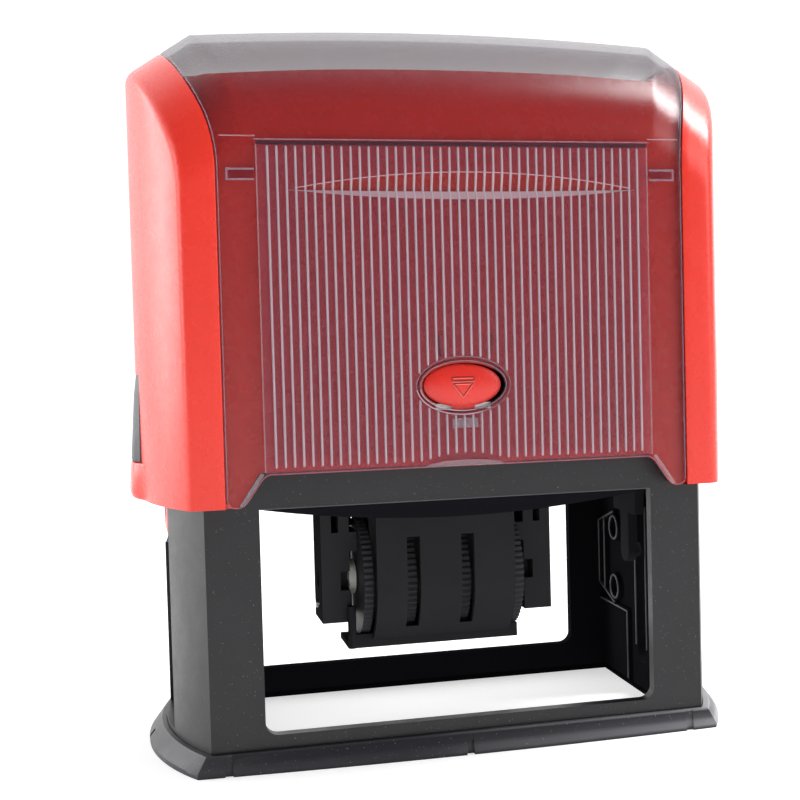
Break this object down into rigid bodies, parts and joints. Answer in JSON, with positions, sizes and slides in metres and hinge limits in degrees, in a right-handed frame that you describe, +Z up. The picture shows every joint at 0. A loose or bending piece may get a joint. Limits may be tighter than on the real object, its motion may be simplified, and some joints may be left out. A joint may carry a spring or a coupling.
{
  "type": "date and time stamp machine",
  "caption": "Self-inking date stamp: a sprung housing with a smoky cover slides down over a windowed base and turns over a text plate with a wheel-set dater.",
  "frame": {"origin": "centre of the footprint, on the table plane", "axes": "+X to the right along the text plate, -Y towards the front with the lock button, +Z up"},
  "size_m": [0.1012, 0.0529, 0.117],
  "materials": {
    "base_black": "black moulded plastic with a fine satin grain",
    "foot_black": "dark moulded plastic, satin",
    "housing_red": "red moulded plastic, satin gloss",
    "smoky_clear": "smoky transparent plastic, polished",
    "grip_black": "soft dark insert",
    "dater_black": "black plastic of the dater",
    "plate_grey": "grey plastic plate",
    "die_rubber": "dark rubber",
    "band_rubber": "dark rubber band",
    "steel": "bright steel",
    "spring_steel": "drawn spring wire",
    "pad_foam": "ink-soaked foam",
    "cartridge_black": "dark plastic of the ink cartridge"
  },
  "bodies": {
    "base": {"base_frame": "base_black", "foot_ring": "foot_black", "ink_cartridge": "cartridge_black", "ink_pad": "pad_foam", "return_spring_left": "spring_steel", "return_spring_right": "spring_steel"},
    "housing": {"cap_shell": "housing_red", "clear_cover": "smoky_clear", "side_grip_left": "grip_black", "side_grip_right": "grip_black"},
    "lock_button": {"lock_button": "housing_red"},
    "plate_carrier": {"carrier": "dater_black", "text_plate": "plate_grey", "rubber_die": "die_rubber", "bridge_bar": "dater_black", "end_block_left": "dater_black", "end_block_right": "dater_black", "dowel_left": "steel", "dowel_right": "steel", "wheel_shaft": "steel", "wheel_guard": "dater_black", "band_1": "band_rubber", "band_2": "band_rubber", "band_3": "band_rubber", "band_4": "band_rubber"},
    "wheel_1": {"wheel_1": "dater_black"},
    "wheel_2": {"wheel_2": "dater_black"},
    "wheel_3": {"wheel_3": "dater_black"},
    "wheel_4": {"wheel_4": "dater_black"}
  },
  "joints": [
    {"name": "press_down", "type": "slide", "parent": "base", "child": "housing", "axis": [0, 0, -1], "range_m": [0, 0.0305], "stiffness_N_per_m": 400, "springref_m": -0.02, "deforming": ["return_spring_left", "return_spring_right", "ink_pad"]},
    {"name": "plate_flip", "type": "hinge", "parent": "housing", "child": "plate_carrier", "pos_m": [0, 0, 0.0385], "axis": [1, 0, 0], "range_deg": [0, 180]},
    {"name": "button_press", "type": "slide", "parent": "housing", "child": "lock_button", "axis": [0, 1, 0], "range_m": [0, 0.0025], "stiffness_N_per_m": 300, "springref_m": -0.001},
    {"name": "wheel_1_spin", "type": "hinge", "parent": "plate_carrier", "child": "wheel_1", "pos_m": [-0.0129, 0, 0.0252], "axis": [1, 0, 0], "continuous": true},
    {"name": "wheel_2_spin", "type": "hinge", "parent": "plate_carrier", "child": "wheel_2", "pos_m": [-0.0056, 0, 0.0252], "axis": [1, 0, 0], "continuous": true},
    {"name": "wheel_3_spin", "type": "hinge", "parent": "plate_carrier", "child": "wheel_3", "pos_m": [0.0036, 0, 0.0252], "axis": [1, 0, 0], "continuous": true},
    {"name": "wheel_4_spin", "type": "hinge", "parent": "plate_carrier", "child": "wheel_4", "pos_m": [0.0129, 0, 0.0252], "axis": [1, 0, 0], "continuous": true}
  ],
  "couplings": [
    {"joint": "plate_flip", "follows": "press_down", "rad_per_m": 103}
  ]
}
